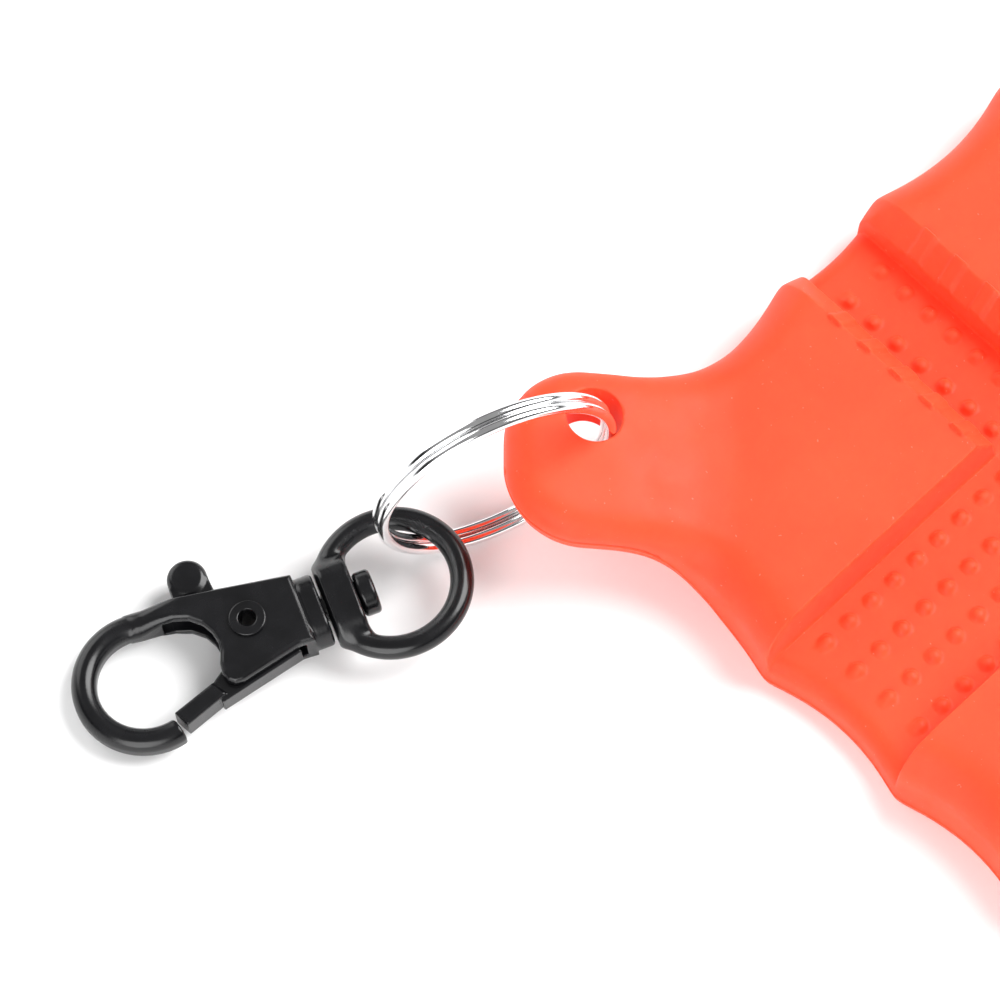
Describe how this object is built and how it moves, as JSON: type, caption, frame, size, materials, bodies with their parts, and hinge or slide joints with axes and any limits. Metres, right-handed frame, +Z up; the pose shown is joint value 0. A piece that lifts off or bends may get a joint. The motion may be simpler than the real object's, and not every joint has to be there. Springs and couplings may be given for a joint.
{
  "type": "grip pad with split ring and swivel clip",
  "caption": "Folding silicone grip pad with scalloped edges and crossed dimpled channels, hung from a split ring and a swivel snap hook.",
  "frame": {"origin": "centre of the pad's flat underside", "axes": "+Z up out of the pad's top; +X along the narrow ribbed channel and +Y along the wide channel; the tab is on the corner at -X, -Y"},
  "size_m": [0.0917, 0.1196, 0.025],
  "materials": {
    "silicone": "matte moulded",
    "ring_steel": "polished nickel plate",
    "black_clip": "satin",
    "spring_steel": "drawn wire"
  },
  "bodies": {
    "pad": {"pad_tab_half": "silicone"},
    "pad_flap": {"pad_free_half": "silicone"},
    "ring": {"split_ring": "ring_steel"},
    "eye": {"swivel_eye": "black_clip"},
    "hook": {"hook_body": "black_clip", "swivel_rivet": "black_clip", "gate_rivet": "black_clip", "gate_spring": "spring_steel"},
    "gate": {"gate_lever": "black_clip"}
  },
  "joints": [
    {"name": "pad_fold", "type": "hinge", "parent": "pad", "child": "pad_flap", "pos_m": [0, 0, 0.0045], "axis": [1, 0, 0], "range_deg": [0, 80], "stiffness_Nm_per_rad": 0.02},
    {"name": "ring_swing", "type": "hinge", "parent": "pad", "child": "ring", "pos_m": [-0.03429, -0.03095, 0.01], "axis": [0, 0, 1], "range_deg": [-25, 8]},
    {"name": "eye_slide", "type": "hinge", "parent": "ring", "child": "eye", "pos_m": [-0.03832, -0.04186, 0.01255], "axis": [-0.9379, 0.3469, 0], "range_deg": [0, 75]},
    {"name": "hook_swivel", "type": "hinge", "parent": "eye", "child": "hook", "pos_m": [-0.03973, -0.05423, 0.0045], "axis": [0.4208, 0.9024, 0.0932], "continuous": true},
    {"name": "gate_pivot", "type": "hinge", "parent": "hook", "child": "gate", "pos_m": [-0.04644, -0.06674, 0.00317], "axis": [0.0394, 0.0845, -0.9956], "range_deg": [0, 25], "stiffness_Nm_per_rad": 0.002, "springref_deg": -28.65, "deforming": ["gate_spring"]}
  ]
}
